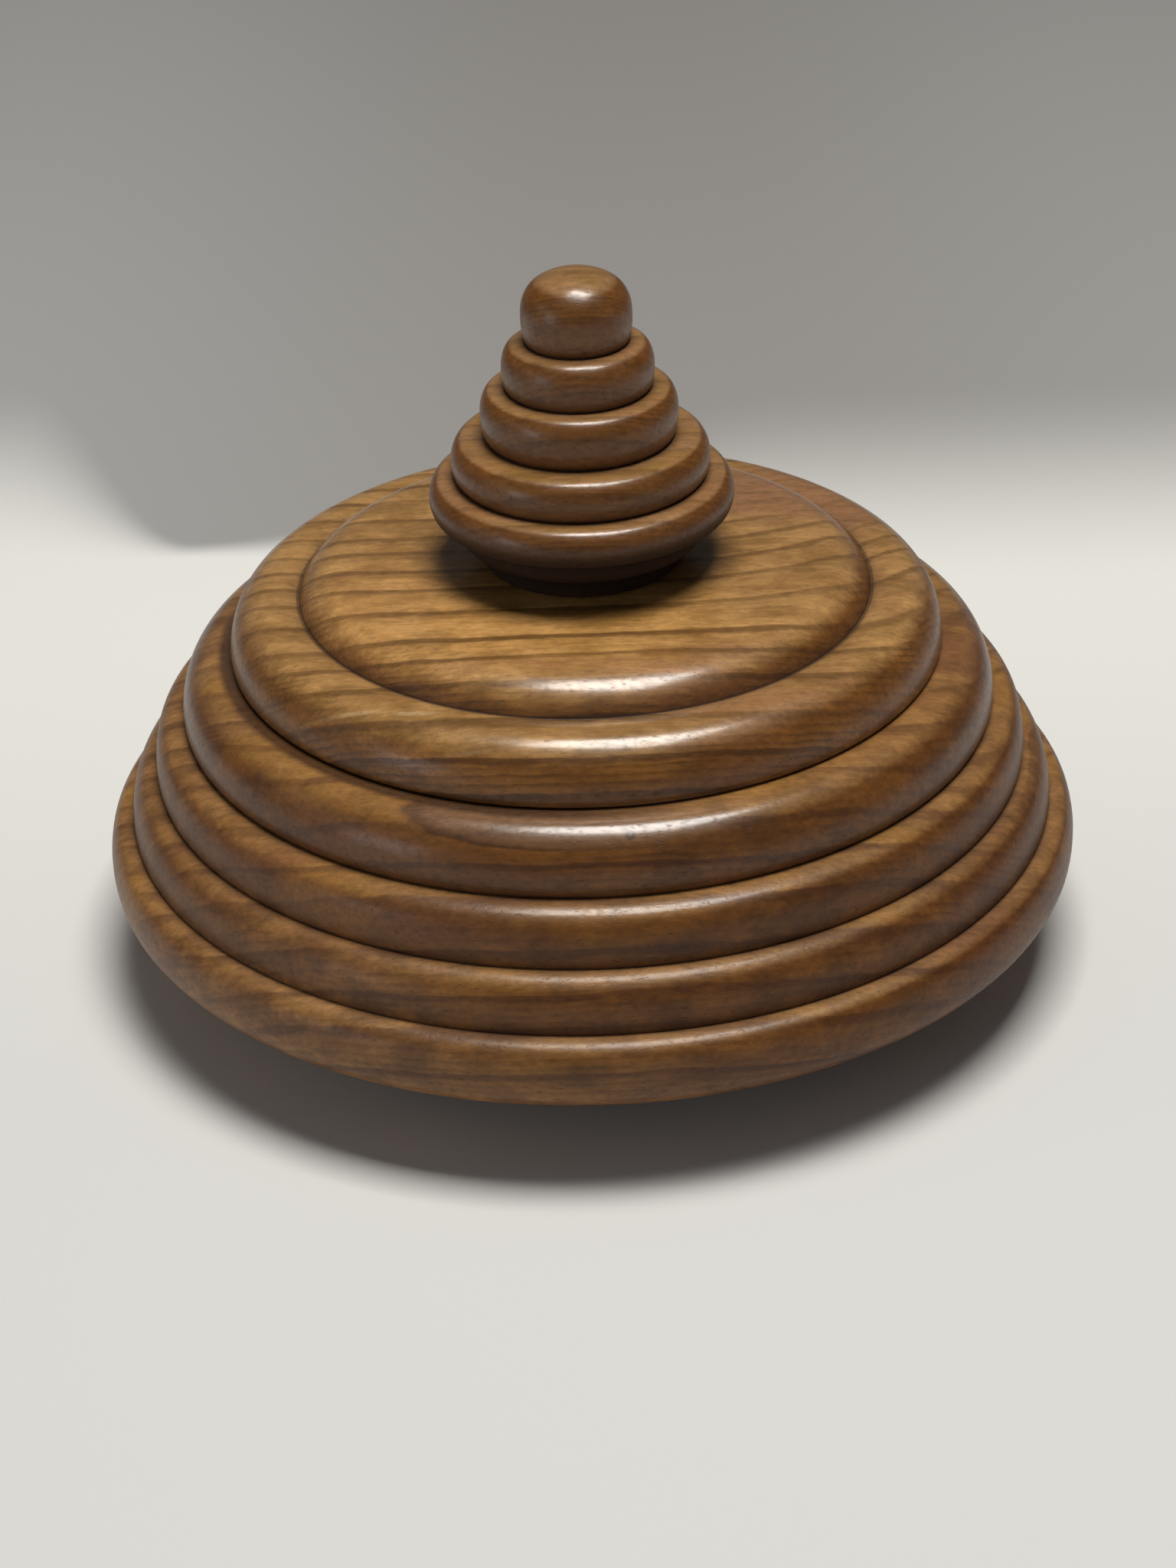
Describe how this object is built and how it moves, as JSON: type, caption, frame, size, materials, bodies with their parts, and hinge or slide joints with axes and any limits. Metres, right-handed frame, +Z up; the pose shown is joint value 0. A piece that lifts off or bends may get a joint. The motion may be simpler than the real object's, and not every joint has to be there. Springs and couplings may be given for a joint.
{
  "type": "turned wooden pot",
  "caption": "Lidded turned wooden pot with stepped half-round rings, wide and low, with a stepped finial on a lid that lifts off.",
  "frame": {"origin": "centre of the foot, on the surface that the pot stands on", "axes": "+Z up along the turning axis; the growth lines of the lid run along X"},
  "size_m": [0.15, 0.15, 0.1091],
  "materials": {
    "body_wood": "polished reddish-brown softwood",
    "lid_wood": "polished golden-brown softwood with dark growth lines",
    "finial_wood": "polished brown softwood"
  },
  "bodies": {
    "pot": {"pot_body": "body_wood"},
    "lid_and_finial": {"lid": "lid_wood", "finial": "finial_wood"}
  },
  "joints": [
    {"name": "lid_lift", "type": "slide", "parent": "pot", "child": "lid_and_finial", "axis": [0, 0, 1], "range_m": [0, 0.12]}
  ]
}
